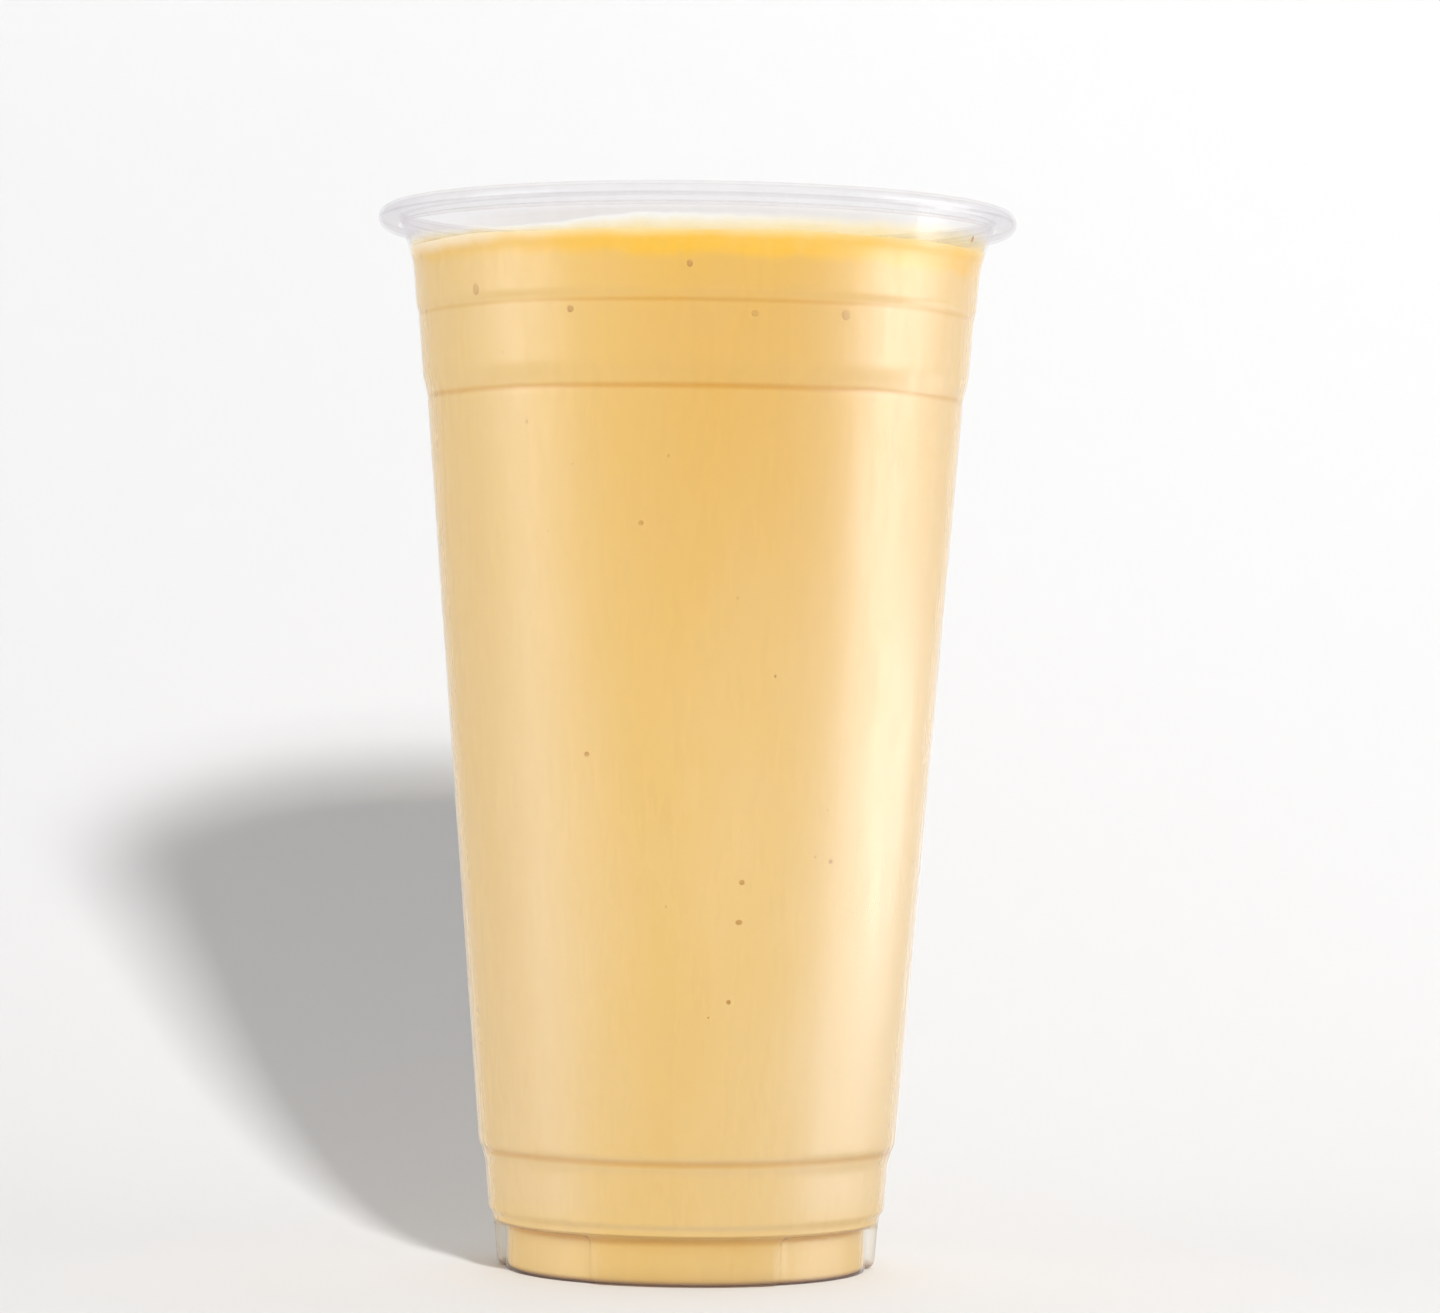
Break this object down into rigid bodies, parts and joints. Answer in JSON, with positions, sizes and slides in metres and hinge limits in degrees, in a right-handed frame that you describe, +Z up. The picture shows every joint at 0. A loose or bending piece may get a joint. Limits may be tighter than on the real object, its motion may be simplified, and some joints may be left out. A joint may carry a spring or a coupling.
{
  "type": "mango milk in a clear plastic cup",
  "caption": "Tall clear disposable cup with a curled rim and stepped sides, filled almost to the rim with opaque mango milk under a thin golden mango layer.",
  "frame": {"origin": "centre of the ring that the cup stands on, in the plane of that ring", "axes": "+Z up along the cup's axis, -Y towards the front, with a stacking lug centred on -Y, +X to the right"},
  "size_m": [0.098, 0.098, 0.1624],
  "materials": {
    "clear_plastic": "clear thermoformed sheet, glossy",
    "mango_milk": "opaque creamy liquid, pale mango yellow",
    "mango_puree": "thick golden liquid, wet sheen"
  },
  "bodies": {
    "root": {"cup": "clear_plastic", "drink": "mango_milk", "golden_layer": "mango_puree"}
  },
  "joints": []
}
